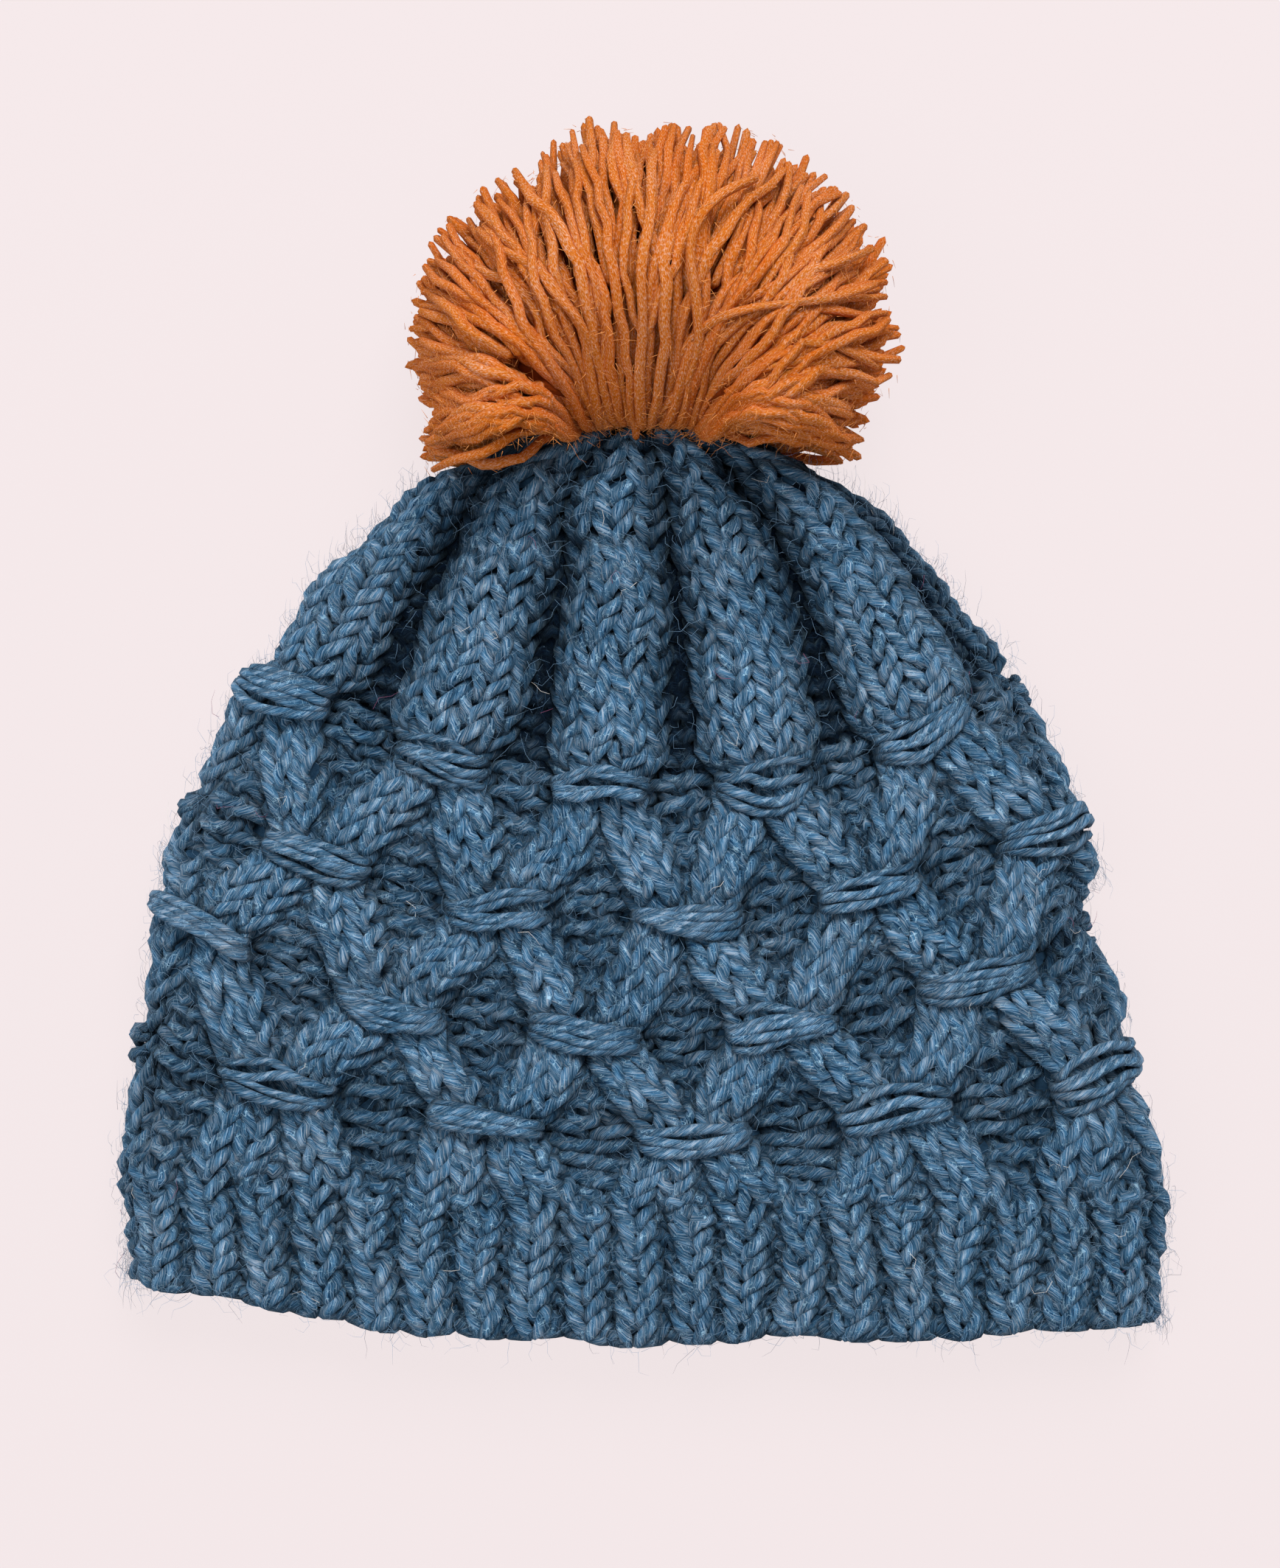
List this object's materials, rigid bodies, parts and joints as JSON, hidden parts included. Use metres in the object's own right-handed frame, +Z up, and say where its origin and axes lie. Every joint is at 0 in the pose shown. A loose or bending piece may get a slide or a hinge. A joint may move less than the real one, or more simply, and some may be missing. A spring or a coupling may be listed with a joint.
{
  "type": "bobble hat",
  "caption": "Hand-knitted wool hat lying flat: ribbed hem, smocked honeycomb body, pleated crown and a large yarn pompom.",
  "frame": {"origin": "centre of the box of the lying hat, on the surface it lies on", "axes": "+Z up from the surface, +Y from the hem towards the pompom, +X to the right seen from above with the pompom away"},
  "size_m": [0.2282, 0.2644, 0.0574],
  "materials": {
    "blue_knit": "blue-teal hand-knitted wool, matt and hairy",
    "wrap_yarn": "strands of the same blue-teal wool yarn, wound",
    "orange_yarn": "burnt orange wool yarn, loose cut strands"
  },
  "bodies": {
    "root": {"ribbed_hem": "blue_knit", "smocked_body": "blue_knit", "crown": "blue_knit", "wrap_a1": "wrap_yarn", "wrap_a2": "wrap_yarn", "wrap_a3": "wrap_yarn", "wrap_a4": "wrap_yarn", "wrap_a5": "wrap_yarn", "wrap_a6": "wrap_yarn", "wrap_a7": "wrap_yarn", "wrap_a8": "wrap_yarn", "wrap_a9": "wrap_yarn", "wrap_a10": "wrap_yarn", "wrap_b1": "wrap_yarn", "wrap_b2": "wrap_yarn", "wrap_b3": "wrap_yarn", "wrap_b4": "wrap_yarn", "wrap_b5": "wrap_yarn", "wrap_b6": "wrap_yarn", "wrap_b7": "wrap_yarn", "wrap_b8": "wrap_yarn", "wrap_b9": "wrap_yarn", "wrap_b10": "wrap_yarn", "wrap_c1": "wrap_yarn", "wrap_c2": "wrap_yarn", "wrap_c3": "wrap_yarn", "wrap_c4": "wrap_yarn", "wrap_c5": "wrap_yarn", "wrap_c6": "wrap_yarn", "wrap_c7": "wrap_yarn", "wrap_c8": "wrap_yarn", "wrap_c9": "wrap_yarn", "wrap_c10": "wrap_yarn", "wrap_d1": "wrap_yarn", "wrap_d2": "wrap_yarn", "wrap_d3": "wrap_yarn", "wrap_d4": "wrap_yarn", "wrap_d5": "wrap_yarn", "wrap_d6": "wrap_yarn", "wrap_d7": "wrap_yarn", "wrap_d8": "wrap_yarn", "wrap_d9": "wrap_yarn", "wrap_d10": "wrap_yarn", "pompom": "orange_yarn"}
  },
  "joints": []
}
